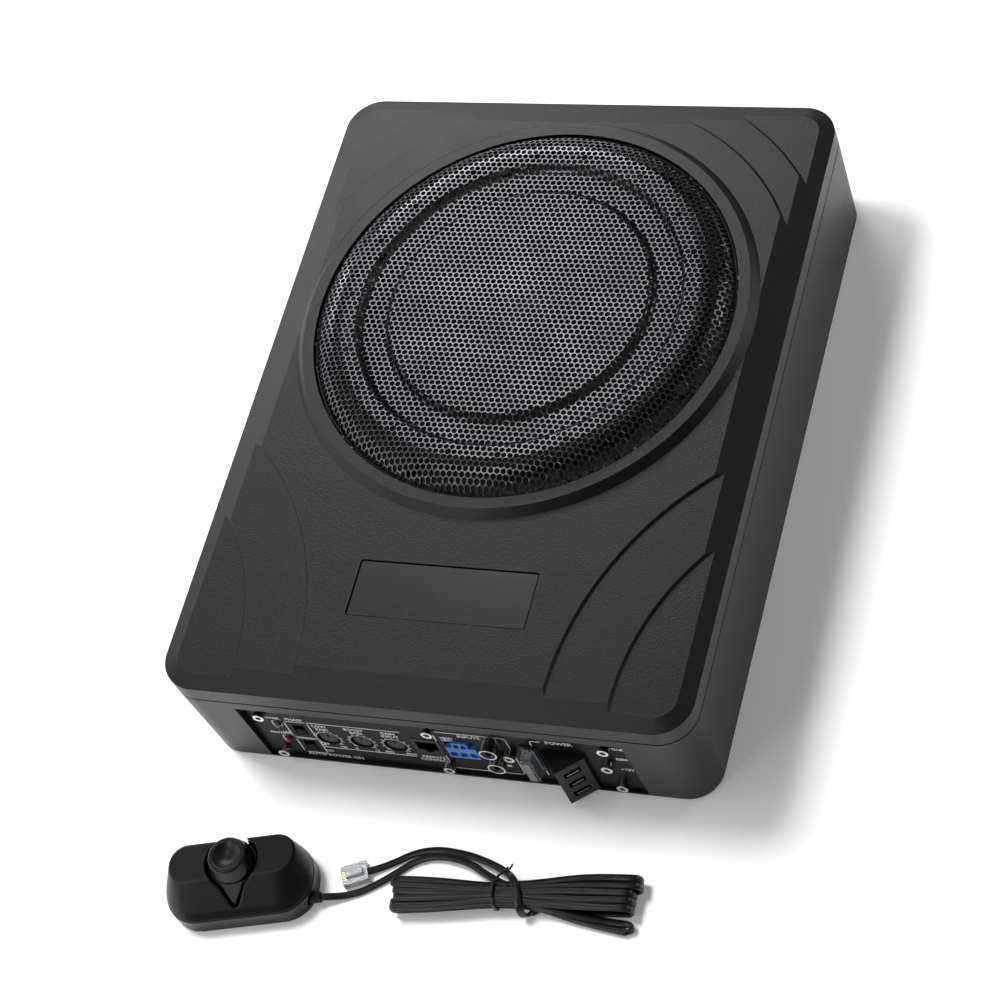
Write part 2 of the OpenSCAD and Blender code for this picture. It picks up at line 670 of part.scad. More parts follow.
module remote_screws() color("silver")
    on_remote()
        for (x = [-24, 24])
            translate([x, 3, 0.1]) cylinder(h = 7, r = 1.5);

module remote_grommet() color([0.03, 0.03, 0.03])
    on_remote()
        translate([remote_l / 2 - 3, -9, 4]) rotate([0, 90, 0])
            difference() {
                cylinder(h = 5, r = 2.5);
                translate([0, 0, 3.2]) cylinder(h = 5, r = cord_w / 2 + 0.05);
            }

// Sweeps an even-sided section along points, each ring square to the route
module cord_tube(points, r) {
    sides = 8;
    n = len(points);
    function along(i) = points[min(i + 1, n - 1)] - points[max(i - 1, 0)];
    function unit(v) = v / norm(v);
    function across(i) = unit(cross(along(i), [0, 0, 1]));
    function up(i) = unit(cross(across(i), along(i)));
    rings = [for (i = [0 : n - 1]) for (k = [0 : sides - 1])
        points[i] + r * (cos(k * 360 / sides) * across(i) + sin(k * 360 / sides) * up(i))];
    sides_faces = [for (i = [0 : n - 2]) for (k = [0 : sides - 1])
        [i * sides + k, i * sides + (k + 1) % sides, (i + 1) * sides + (k + 1) % sides, (i + 1) * sides + k]];
    caps = [[for (k = [sides - 1 : -1 : 0]) k], [for (k = [0 : sides - 1]) (n - 1) * sides + k]];
    polyhedron(rings, concat(sides_faces, caps), 4);
}

module remote_lead() color([0.04, 0.04, 0.04]) cord_tube(lead_route, cord_t / 2);

module plug_lead() color([0.04, 0.04, 0.04]) cord_tube(plug_route, cord_t / 2);

module cord_hank() color([0.04, 0.04, 0.04])
    on_hank()
        translate([0, 0, hank_z[0]]) linear_extrude(hank_z[1] - hank_z[0]) {
            for (s = [-1, 1])
                translate([s * 33.5, 0]) rounded(47, 19, 6);
            square([26, 13], center = true);
            translate([loose_loop[0], loose_loop[1]]) rounded(loose_loop[2], loose_loop[3], 5);
        }

module hank_tie() color([0.1, 0.1, 0.1])
    on_hank()
        difference() {
            translate([-8.6, -7.4, 0.05]) cube([1.4, 14.8, hank_z[1] + 0.8]);
            translate([-9, -6.5, hank_z[0]]) cube([3, 13, hank_z[1] - hank_z[0]]);
        }

module plug_body() color([0.85, 0.87, 0.9], 0.5)
    on_plug()
        difference() {
            union() {
                translate([-6, -4.8, 0]) cube([12, 9.6, 4]);
                translate([-4, -1.6, 4]) cube([8, 3.2, 1.6]);
            }
            translate([4, -1.8, 0.9]) cube([4, 3.6, 2.2]);
        }

module plug_contacts() color([0.85, 0.7, 0.35])
    on_plug()
        for (k = [-1.5 : 1 : 1.5])
            translate([-6.2, k * 1.27 - 0.2, 0.4]) cube([3, 0.4, 3.2]);

lower_enclosure();
cover_screws();
lid_seal();
top_cover();
grille();
badge_plate();
control_panel();
panel_screws();
power_led();
protect_led();
switch_housings();
phase_slider();
auto_power_slider();
potentiometers();
low_pass_knob();
bass_boost_knob();
input_gain_knob();
remote_jack();
speaker_level_connector();
socket_contacts();
rca_block();
rca_shells();
rca_inserts();
fuse_holder();
blade_fuse();
terminal_block();
terminal_clamps();
terminal_screws();
amplifier_board();
board_screws();
toroid_transformer();
filter_capacitors();
power_transistors();
heatsink_bar();
driver_basket();
driver_gasket();
driver_screws();
driver_terminals();
speaker_wires();
cone();
dust_cap();
surround();
spider();
voice_coil();
top_plate();
magnet();
back_plate();
remote_base();
remote_top();
remote_collar();
remote_knob();
remote_pot();
remote_screws();
remote_grommet();
remote_lead();
cord_hank();
plug_lead();
hank_tie();
plug_body();
plug_contacts();
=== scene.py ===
"""Powered car subwoofer: its camera, light, finishes and fine pieces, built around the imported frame."""
import json
import math
import random

import bmesh
import bpy
import numpy as np
from mathutils import Matrix, Vector


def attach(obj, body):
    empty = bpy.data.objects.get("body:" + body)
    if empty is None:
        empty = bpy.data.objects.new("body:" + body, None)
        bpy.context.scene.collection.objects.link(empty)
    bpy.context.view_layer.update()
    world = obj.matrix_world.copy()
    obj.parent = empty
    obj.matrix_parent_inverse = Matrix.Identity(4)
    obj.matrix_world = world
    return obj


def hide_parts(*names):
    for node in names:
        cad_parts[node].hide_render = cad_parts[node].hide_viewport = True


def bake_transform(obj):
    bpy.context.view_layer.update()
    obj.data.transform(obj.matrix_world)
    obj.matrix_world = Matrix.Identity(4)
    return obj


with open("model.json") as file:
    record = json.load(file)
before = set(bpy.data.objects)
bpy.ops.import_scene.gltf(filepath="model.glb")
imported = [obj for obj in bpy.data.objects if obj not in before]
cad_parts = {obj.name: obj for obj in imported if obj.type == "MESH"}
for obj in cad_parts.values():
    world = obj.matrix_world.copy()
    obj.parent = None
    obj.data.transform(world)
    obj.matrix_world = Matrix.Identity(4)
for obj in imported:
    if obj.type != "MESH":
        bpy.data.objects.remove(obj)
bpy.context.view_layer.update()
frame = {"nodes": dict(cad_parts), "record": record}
nodes = frame["nodes"]
MM = 0.001
WELD_WITHIN = 2e-6


def mm(*values):
    """A point given in millimetres, in metres."""
    return Vector([v * MM for v in values])


def srgb(code):
    """An sRGB hex colour as linear red, green, blue and alpha."""
    parts = [int(code[i : i + 2], 16) / 255 for i in (0, 2, 4)]
    return [*(c / 12.92 if c <= 0.04045 else ((c + 0.055) / 1.055) ** 2.4 for c in parts), 1.0]


# ---------------------------------------------------------------- camera
scene = bpy.context.scene
scene.view_settings.view_transform = "Standard"
camera = bpy.data.objects.new("camera", bpy.data.cameras.new("camera"))
camera.data.lens = 107.48
camera.data.sensor_width = 36
camera.data.clip_start = 0.05
RIGHT, DOWN, AHEAD = (0.92608, 0.24671, -0.28551), (0.06421, -0.84864, -0.52506), (-0.37183, 0.46791,
                                                                                   -0.80175)
turn = Matrix((RIGHT, [-c for c in DOWN], [-c for c in AHEAD])).transposed()
camera.matrix_world = Matrix.Translation(mm(508.43, -682.26, 1135.06)) @ turn.to_4x4()
scene.collection.objects.link(camera)
scene.camera = camera


# ---------------------------------------------------------------- mesh helpers
def piece(name, points, faces, finish, body, smooth=True, slot=None, stands_for=()):
    """A named mesh, placed by its points in metres, that rides on a body."""
    mesh = bpy.data.meshes.new(name)
    mesh.from_pydata([tuple(p) for p in points], [], [tuple(f) for f in faces])
    mesh.validate()
    obj = bpy.data.objects.new(name, mesh)
    scene.collection.objects.link(obj)
    return settle(obj, finish, body, smooth, slot, stands_for)


def settle(obj, finish, body, smooth=True, slot=None, stands_for=()):
    """Gives a mesh its finish and body, and hides the frame parts that it stands for."""
    if finish:
        obj.data.materials.clear()
        obj.data.materials.append(finish)
    for face in obj.data.polygons:
        face.use_smooth = smooth
    if body:
        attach(obj, body)
    if stands_for:
        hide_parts(*stands_for)
    return obj


def from_bmesh(name, shape, *args, **kwargs):
    """A named piece from a working mesh, its faces turned outward."""
    bmesh.ops.recalc_face_normals(shape, faces=shape.faces)
    mesh = bpy.data.meshes.new(name)
    shape.to_mesh(mesh)
    shape.free()
    obj = bpy.data.objects.new(name, mesh)
    scene.collection.objects.link(obj)
    return settle(obj, *args, **kwargs)


def soften(obj, width, segments=2, angle=13):
    """Rounds the hard edges of a moulded or machined part by a real radius."""
    weld = obj.modifiers.new("weld", "WELD")
    weld.merge_threshold = WELD_WITHIN
    flats = obj.modifiers.new("whole flats", "DECIMATE")
    flats.decimate_type = "DISSOLVE"
    flats.angle_limit = math.radians(0.4)
    bevel = obj.modifiers.new("edge radius", "BEVEL")
    bevel.width = width * MM
    bevel.segments = segments
    bevel.limit_method = "ANGLE"
    bevel.angle_limit = math.radians(angle)
    even = obj.modifiers.new("flat light on flats", "WEIGHTED_NORMAL")
    even.weight = 100
    even.keep_sharp = True
    for face in obj.data.polygons:
        face.use_smooth = True


# ---------------------------------------------------------------- finishes
def add(tree, kind, inputs=None, **settings):
    """A node with its settings, and its inputs set or linked."""
    node = tree.nodes.new(kind)
    for key, value in settings.items():
        setattr(node, key, value)
    for key, value in (inputs or {}).items():
        if isinstance(value, bpy.types.NodeSocket):
            tree.links.new(value, node.inputs[key])
        else:
            node.inputs[key].default_value = value
    return node


GRAINS = {"noise": ("ShaderNodeTexNoise", "Fac"), "cells": ("ShaderNodeTexVoronoi", "Distance")}


def finish(name, colour, rough, metal=0.0, grain=None, depth=0.02, mottle=0.0, rough_spread=0.06,
           pattern="noise", shade=None, **sockets):
    """A surface with a grain and relief sized in mm, and a faint unevenness in tone and gloss."""
    made = bpy.data.materials.new(name)
    made.use_nodes = True
    tree = made.node_tree
    shader = tree.nodes["Principled BSDF"]
    for key, value in {"Metallic": metal, **sockets}.items():
        shader.inputs[key].default_value = value
    place = add(tree, "ShaderNodeTexCoord").outputs["Object"]
    cloud = add(tree, "ShaderNodeTexNoise",
                {"Vector": place, "Scale": 45.0, "Detail": 3.0, "Roughness": 0.55})
    gloss = add(tree, "ShaderNodeMapRange",
                {"Value": cloud.outputs["Fac"], "From Min": 0.3, "From Max": 0.7,
                                             "To Min": rough - rough_spread,
                 "To Max": rough + rough_spread})
    tree.links.new(gloss.outputs["Result"], shader.inputs["Roughness"])
    base = srgb(colour)
    other = srgb(shade) if shade else [c * (1 - mottle) for c in base[:3]] + [1.0]
    height = cloud.outputs["Fac"]
    if grain:
        kind, output = GRAINS[pattern]
        height = add(tree, kind, {"Vector": place, "Scale": 1000 / grain}).outputs[output]
        relief = add(tree, "ShaderNodeBump", {"Height": height, "Distance": depth * MM, "Strength": 1.0})
        tree.links.new(relief.outputs["Normal"], shader.inputs["Normal"])
    tone = add(tree, "ShaderNodeMix", {0: height, 6: base, 7: other}, data_type="RGBA")
    tree.links.new(tone.outputs[2], shader.inputs["Base Color"])
    return made


# Black powder coat on sheet steel: a fine orange peel that breaks up the light into a soft sheen
POWDER_COAT = finish("powder_coated_steel", "0f0f11", 0.40, grain=1.6, depth=0.02, mottle=0.15,
                     rough_spread=0.02, **{"Specular IOR Level": 0.36})
# Black ABS moulded in a spark-eroded tool: an even matt grain that glitters a little where light grazes it
GRAINED_ABS = finish("spark_eroded_abs", "101012", 0.40, grain=0.8, depth=0.13, mottle=0.6,
                     rough_spread=0.015, **{"Specular IOR Level": 0.42})
# Closed-cell foam: dull, with small open cells; its black is deepened past the foam's own to paint the
# shade in the seam between lid and case
FOAM_SEAM_SHADE = finish("closed_cell_foam_seam_shade", "050505", 0.95, grain=0.8, depth=0.1, mottle=0.4, pattern="cells")
# Perforated steel sheet with a thin satin grey lacquer: metal that still mirrors the light softly
GRILLE_STEEL = finish("lacquered_perforated_steel", "6c6d71", 0.28, metal=1.0, grain=2.5, depth=0.01,
                      mottle=0.15)
# Polished ABS badge plate: dark satin gloss
BADGE_ABS = finish("polished_abs", "121316", 0.28, mottle=0.1, rough_spread=0.03)
# Steel plate with a smooth matt enamel
PANEL_ENAMEL = finish("matt_enamel", "0c0d10", 0.5, grain=1.1, depth=0.01, mottle=0.2, rough_spread=0.02,
                      **{"Specular IOR Level": 0.2})
# Nickel-plated steel and brass: bright and slightly warm
NICKEL = finish("bright_nickel", "d6d3cc", 0.16, metal=1.0, mottle=0.08)
# Zinc-plated steel: pale, with a soft sheen
ZINC = finish("zinc_plate", "a9adb0", 0.34, metal=1.0, grain=0.6, depth=0.008, mottle=0.15)
# Water-clear epoxy lens
CLEAR_EPOXY = finish("clear_epoxy", "dfe5e8", 0.12, mottle=0.03, **{"Transmission Weight": 0.8, "IOR": 1.5})
# Red epoxy lens
RED_EPOXY = finish("red_epoxy", "b3202a", 0.15, mottle=0.1, **{"Transmission Weight": 0.25, "IOR": 1.5})
# Moulded nylon: dark, a little waxy
NYLON = finish("moulded_nylon", "0b0b0c", 0.42, grain=0.9, depth=0.01, mottle=0.2,
               **{"Specular IOR Level": 0.3})
# Moulded knobs: satin ABS
KNOB_ABS = finish("moulded_knob_abs", "121213", 0.38, grain=0.5, depth=0.01, mottle=0.2)
# Dyed nylon connector body
BLUE_NYLON = finish("blue_nylon", "4a86d8", 0.4, mottle=0.2,
                    **{"Subsurface Weight": 0.1, "Subsurface Radius": (0.0008, 0.001, 0.002)})
# Gold-flashed contact springs
GOLD = finish("gold_flash", "d9b461", 0.22, metal=1.0, mottle=0.08)
# Clear polycarbonate, slightly crazed
CLEAR_PC = finish("clear_polycarbonate", "aab2b8", 0.12, grain=1.4, depth=0.16, mottle=0.25,
                  **{"Transmission Weight": 0.75, "IOR": 1.58})
# Glass-fibre board under green solder mask
CIRCUIT_BOARD = finish("solder_mask", "14502c", 0.35, grain=0.4, depth=0.01, shade="0d3a20")
# Enamelled copper wire, wound
COPPER = finish("enamelled_copper", "a5562a", 0.3, metal=1.0, grain=1.2, depth=0.2, mottle=0.3,
                pattern="cells")
# Shrink sleeve round the capacitors
CAP_SLEEVE = finish("shrink_sleeve", "1d2545", 0.3, mottle=0.15)
# Moulding compound of the power transistors
EPOXY_BLACK = finish("moulding_compound", "18181a", 0.55, grain=0.3, depth=0.01, mottle=0.2)
# Extruded aluminium bar
ALUMINIUM = finish("extruded_aluminium", "b9bbbe", 0.36, metal=1.0, grain=0.5, depth=0.01, mottle=0.1)
# Stove-enamelled steel: dull black, deepened past the enamel's own black to paint the shade that fills the
# driver under the grille
BASKET_COAT_GRILLE_SHADE = finish("black_stove_enamel_painted_shade", "0a0a0b", 0.7, grain=1.4, depth=0.015, mottle=0.2)
# PVC sleeve of the speaker wires
RED_PVC = finish("red_pvc", "8c1d1d", 0.42, mottle=0.15)
# Pressed paper pulp: matt with a felted surface; its black is deepened past the paper's own to paint the
# shade under the grille
PAPER_GRILLE_SHADE = finish("pressed_paper_painted_shade", "0d0d0d", 0.85, grain=0.7, depth=0.06, mottle=0.4)
# Butyl rubber of the surround
BUTYL = finish("butyl_rubber", "0a0a0a", 0.7, grain=0.5, depth=0.01, mottle=0.15)
# Resin-stiffened cloth of the spider
CLOTH = finish("resin_cloth", "9a7a45", 0.7, grain=0.8, depth=0.08, mottle=0.35, pattern="cells")
# Sintered ferrite magnet
FERRITE = finish("sintered_ferrite", "26262a", 0.6, grain=0.9, depth=0.02, mottle=0.25)
# Remote: fine matt moulded ABS
REMOTE_ABS = finish("matt_abs", "0d0d0e", 0.36, grain=0.9, depth=0.02, mottle=0.3, rough_spread=0.02,
                    **{"Specular IOR Level": 0.38})
# Flat modular cord: satin PVC
CORD_PVC = finish("satin_pvc", "161617", 0.33, grain=1.5, depth=0.01, mottle=0.15)
# Pad-printed white ink
WHITE_INK = finish("printed_white_ink", "e9ebee", 0.55, mottle=0.06)

SLOTS = {
    "case_black": (POWDER_COAT, 0.5), "cover_abs": (GRAINED_ABS, 0.5), "foam": (FOAM_SEAM_SHADE, 0),
         "grille_steel": (GRILLE_STEEL, 0),
    "badge_gloss": (BADGE_ABS, 0.2), "panel_black": (PANEL_ENAMEL, 0.12), "nickel": (NICKEL, 0.12),
         "zinc": (ZINC, 0.12),
    "led_clear": (CLEAR_EPOXY, 0), "led_red": (RED_EPOXY, 0), "black_nylon": (NYLON, 0.15),
         "knob_black": (KNOB_ABS, 0.12),
    "blue_nylon": (BLUE_NYLON, 0.15), "gold": (GOLD, 0), "clear_pc": (CLEAR_PC, 0.15),
         "pcb_green": (CIRCUIT_BOARD, 0),
    "copper": (COPPER, 0), "cap_blue": (CAP_SLEEVE, 0.4), "epoxy_black": (EPOXY_BLACK, 0),
         "aluminium": (ALUMINIUM, 0.1),
    "basket_steel": (BASKET_COAT_GRILLE_SHADE, 0), "wire_red": (RED_PVC, 0), "paper_black": (PAPER_GRILLE_SHADE, 0),
         "butyl": (BUTYL, 0),
    "spider_cloth": (CLOTH, 0), "coil_copper": (COPPER, 0), "plated_steel": (ZINC, 0.3),
         "ferrite": (FERRITE, 0),
    "remote_abs": (REMOTE_ABS, 0.5), "cord_pvc": (CORD_PVC, 0),
}


def blend_edges(obj, voxel, passes):
    """Gives a lofted moulding the soft, continuous surface that it leaves the tool with."""
    weld = obj.modifiers.new("weld", "WELD")
    weld.merge_threshold = WELD_WITHIN
    skin = obj.modifiers.new("even skin", "REMESH")
    skin.mode = "VOXEL"
    skin.voxel_size = voxel * MM
    skin.use_smooth_shade = True
    ease = obj.modifiers.new("eased edges", "SMOOTH")
    ease.factor = 0.5
    ease.iterations = passes


LOFTED = {"remote_top": (0.35, 9), "remote_base": (0.4, 5), "remote_collar": (0.35, 6),
          "remote_knob": (0.28, 5)}
for part in frame["record"]["subparts"]:
    surface, radius = SLOTS[part["material_slot"]]
    obj = nodes[part["node"]]
    obj.data.materials.clear()
    obj.data.materials.append(surface)
    if part["node"] in LOFTED:
        blend_edges(obj, *LOFTED[part["node"]])
    elif radius:
        soften(obj, radius)
    else:
        weld = obj.modifiers.new("weld", "WELD")
        weld.merge_threshold = WELD_WITHIN


# ---------------------------------------------------------------- cord
HANK_AT, HANK_TURN = (43.0, -220.5), math.radians(6.7)
CORD_WIDE, CORD_THICK = 3.4, 1.8
CORD_STEP = 1.6
RUN_REACH, LOOSE_REACH = 54.2, 52.0
LOOSE_RUNS = (16, 17)
RUN_STEPS = 13
LEAD_ROUTE = [(-47.6, -232.2, 4), (-44.6, -231.5, 3.8), (-42, -230.8, 3.2), (-39, -229.8, 2.2),
              (-34, -228, 1.3), (-28, -225, 1),
              (-21, -220, 1), (-14, -214, 1), (-8, -209, 1.2), (-1, -206, 1.8), (7, -205.4, 2.6),
              (15, -206.6, 3.6), (22, -209, 4.6), (27, -211.6, 5), (30.5, -213.9, 5)]
PLUG_ROUTE = [(-29.7, -216.8, 2), (-26.8, -215.5, 1.8), (-22, -212.9, 1.2), (-16, -209.2, 1),
              (-10, -205.4, 1),
              (-4, -203, 1), (3, -201.9, 1.2), (11, -202.4, 2), (19, -203.8, 3.2), (27, -206.2, 4.6),
              (34, -208.8, 5.6), (38.4, -211, 6)]


def on_hank(x, y, z):
    """A point in the hank's own frame, in mm, turned into the row frame."""
    c, s = math.cos(HANK_TURN), math.sin(HANK_TURN)
    return Vector((HANK_AT[0] + x * c - y * s, HANK_AT[1] + x * s + y * c, z))


def hank_way(x, y, z):
    """A direction in the hank's own frame, turned into the row frame."""
    return (on_hank(x, y, z) - on_hank(0, 0, 0)).normalized()


def hank_runs(rng):
    """The folded runs, from first to last: centre points in mm and the lean of the cord's width."""
    columns = [(y, (8.3, 1.9, 4.0, 6.2)) for y in (7.0, 3.6, 0.2, -3.3)] + [(-6.9, (4.0, 6.2, 8.3, 1.9))]
    runs = [(column, y, z) for column, (y, heights) in enumerate(columns) for z in heights]
    points = []
    side = 1
    for number, (column, y, z) in enumerate(runs):
        first, last = number == 0, number == len(runs) - 1
        loose = number in LOOSE_RUNS
        reach = RUN_REACH - rng.uniform(0, 3.4)
        if loose:
            reach = LOOSE_REACH
        wave, tilt = rng.uniform(-0.5, 0.5), rng.uniform(-0.25, 0.25)
        start = -side * reach if not first else -4.0
        stop = side * reach if not last else 12.0
        for i in range(RUN_STEPS):
            t = i / (RUN_STEPS - 1)
            x = start + (stop - start) * t
            waist = math.exp(-(((x + 5.0) / 27) ** 2))
            narrow = 1 - 0.42 * waist
            lean = 0.25 * waist * (column - 2) + tilt * (1 - waist)
            height = z + 0.33 * waist + 0.12 * math.sin(3 * t * math.pi + wave * 9)
            stray = max(0.0, x - 12) / 40 * (8.6 if number == LOOSE_RUNS[0] else 5.0) if loose else 0.0
            drop = (z - 2.2) * min(1.0, stray / 4) if loose else 0.0
            points.append((x, y * narrow - stray + wave * math.sin(t * math.pi * 2), height - drop, lean))
        if last:
            break
        _, next_y, next_z = runs[number + 1]
        if number == LOOSE_RUNS[0]:
            for k in (1, 2, 3, 4):
                a = math.pi * k / 5
                points.append((52.4 + 2.6 * math.sin(a), -15.5 + 1.8 * (1 - math.cos(a)), 2.4, 1.35))
            side = -side
            continue
        half, middle = max(abs(next_z - z) / 2, 0.3), (next_z + z) / 2
        bulge = max(half, 1.55)
        for k in (1, 2, 3, 4):
            a = math.pi * k / 5
            points.append((side * (reach + 0.4 + bulge * math.sin(a) * 1.15), y + (next_y - y) * k / 5,
                           middle + (z - middle) / half * bulge * math.cos(a), 0.0))
        side = -side
    return points


# The last turn comes up round the front of the bundle, over its top and back to the plug's lead
WRAP = [(6.6, -8.3, 2.6), (5.6, -8.9, 5.4), (4.9, -7.4, 8.6), (4.4, -4.2, 10.4), (3.4, -0.5, 11.0),
        (2.0, 3.4, 10.6), (-0.4, 7.0, 8.8)]


def cord_path():
    """The whole cord from the remote to its plug: points in mm and width directions."""
    rng = random.Random(4)
    path = [(Vector(p), None) for p in LEAD_ROUTE[:-1]]
    for x, y, z, lean in hank_runs(rng):
        path.append((on_hank(x, y, z), hank_way(0, 1, 0) * math.cos(lean) + Vector((0, 0, math.sin(lean)))))
    path += [(on_hank(x, y, z), hank_way(1, 0.25, 0)) for x, y, z in WRAP]
    path += [(Vector(p), None) for p in reversed(PLUG_ROUTE)]
    return path


def smooth_line(points, step):
    """Catmull-Rom through the points, at about that step."""
    out = []
    n = len(points)
    for i in range(n - 1):
        a, b, c, d = (points[max(i - 1, 0)], points[i], points[i + 1], points[min(i + 2, n - 1)])
        count = max(1, round((c - b).length / step))
        for k in range(count):
            t = k / count
            out.append(0.5 * ((2 * b) + (c - a) * t + (2 * a - 5 * b + 4 * c - d) * t * t
                              + (3 * b - a - 3 * c + d) * t ** 3))
    out.append(points[-1])
    return out


def flat_tube(points, widths, wide, thick, sides=12):
    """A flat cord's closed mesh along points, its width along the given directions."""
    ring = []
    for k in range(sides):
        a = 2 * math.pi * k / sides
        c, s = math.cos(a), math.sin(a)
        ring.append((math.copysign(abs(c) ** 0.55, c) * wide / 2,
                     math.copysign(abs(s) ** 0.8, s) * thick / 2 * (1 - 0.12 * (abs(c) < 0.3))))
    verts, faces = [], []
    n = len(points)
    for i, p in enumerate(points):
        way = (points[min(i + 1, n - 1)] - points[max(i - 1, 0)]).normalized()
        across = (widths[i] - way * widths[i].dot(way)).normalized()
        up = across.cross(way)
        verts += [(p + across * u + up * v) * MM for u, v in ring]
    for i in range(n - 1):
        for k in range(sides):
            a, b = i * sides + k, i * sides + (k + 1) % sides
            faces.append((a, b, b + sides, a + sides))
    faces.append(tuple(range(sides - 1, -1, -1)))
    faces.append(tuple((n - 1) * sides + k for k in range(sides)))
    return verts, faces


route = cord_path()
raw = [p for p, _ in route]
wides = []
for i, (p, w) in enumerate(route):
    if w is None:
        way = raw[min(i + 1, len(raw) - 1)] - raw[max(i - 1, 0)]
        w = Vector((0, 0, 1)).cross(way).normalized()
    if wides and w.dot(wides[-1]) < 0:
        w = -w
    wides.append(w)
line = smooth_line(raw, CORD_STEP)
marks = [0.0]
for a, b in zip(raw, raw[1:]):
    marks.append(marks[-1] + max(1, round((b - a).length / CORD_STEP)))
spread = []
for i in range(len(line)):
    j = max(0, min(len(raw) - 2, int(np.searchsorted(marks, i, side="right")) - 1))
    t = (i - marks[j]) / max(marks[j + 1] - marks[j], 1e-9)
    spread.append(wides[j].lerp(wides[j + 1], min(max(t, 0), 1)).normalized())
verts, faces = flat_tube(line, spread, CORD_WIDE, CORD_THICK)
cord = piece("remote_cord", verts, faces, CORD_PVC, "remote", slot="cord_pvc",
             stands_for=("remote_lead", "cord_hank", "plug_lead"))


def round_tube(points, radius, sides=8):
    """A round wire's closed mesh along points."""
    return flat_tube([Vector(p) for p in points], [Vector((0.3, 0.2, 1)) for _ in points], 2 * radius,
                     2 * radius, sides)


# Twist tie: one turn of covered wire round the hank's waist, its two ends twisted together
TIE_STEPS, TIE_START = 48, 1.9
TIE_HALF_WIDE, TIE_HALF_HIGH, TIE_MIDDLE = 6.6, 5.0, 5.5
TAIL_STEPS, TAIL_RADIUS = 25, 0.42
tie_points, tie_wides = [], []
for i in range(TIE_STEPS + 1):
    a = 2 * math.pi * i / TIE_STEPS + TIE_START
    c, s = math.cos(a), math.sin(a)
    y = math.copysign(abs(c) ** 0.7, c) * TIE_HALF_WIDE
    z = TIE_MIDDLE + math.copysign(abs(s) ** 0.7, s) * TIE_HALF_HIGH
    tie_points.append(on_hank(-7.6 + 0.5 * math.sin(a * 0.5), y, z))
    tie_wides.append(hank_way(1, 0, 0))
tie_verts, tie_faces = flat_tube(tie_points, tie_wides, 1.5, 0.55, 8)
for strand in (0, 1):
    tail = []
    for i in range(TAIL_STEPS + 1):
        t = i / TAIL_STEPS
        a = t * 5 * math.pi + strand * math.pi
        spread_out = 0.35 + (1.5 * max(0, t - 0.8) / 0.2 if t > 0.8 else 0)
        base = Vector((-6.6 + 5.5 * t, 6.4 + 3.8 * t, 10.2 + 1.2 * math.sin(t * 2.2)))
        tail.append(on_hank(base.x + spread_out * math.cos(a) * 0.6, base.y + spread_out * math.cos(a),
                            base.z + spread_out * math.sin(a)))
    v, f = round_tube(tail, TAIL_RADIUS)
    tie_faces += [tuple(i + len(tie_verts) for i in face) for face in f]
    tie_verts += v
tie = piece("twist_tie", tie_verts, tie_faces, CORD_PVC, "remote", slot="cord_pvc",
            stands_for=("hank_tie",))

# ---------------------------------------------------------------- grille
GRILLE_AT = (0.0, 39.5)
PROFILE = [(0, 80.6), (62.0, 80.6), (63.0, 80.1), (64.2, 78.2), (65.2, 77.6), (76.0, 77.6), (77.2, 78.2),
           (78.4, 80.1), (79.4, 80.6),
           (86, 80.6), (90, 80.2), (94, 79.0), (97.4, 76.9), (99.6, 74.3), (100.8, 72.2)]
PITCH, HOLE = 3.0, 1.31


def web_cell():
    """One six-sided cell of sheet with a round hole, whose copies meet edge to edge."""
    shape = bmesh.new()
    outer = [shape.verts.new((PITCH / math.sqrt(3) * math.cos(math.radians(60 * k + 30)),
                              PITCH / math.sqrt(3) * math.sin(math.radians(60 * k + 30)), 0))
             for k in range(6)]
    inner = [shape.verts.new((HOLE * math.cos(math.radians(30 * k + 30)),
                              HOLE * math.sin(math.radians(30 * k + 30)), 0)) for k in range(12)]
    for k in range(6):
        a, b = outer[k], outer[(k + 1) % 6]
        i, j, m = inner[2 * k], inner[2 * k + 1], inner[(2 * k + 2) % 12]
        shape.faces.new((a, j, i))
        shape.faces.new((a, b, j))
        shape.faces.new((b, m, j))
    mesh = bpy.data.meshes.new("web_cell")
    shape.to_mesh(mesh)
    shape.free()
    return bpy.data.objects.new("web_cell", mesh)


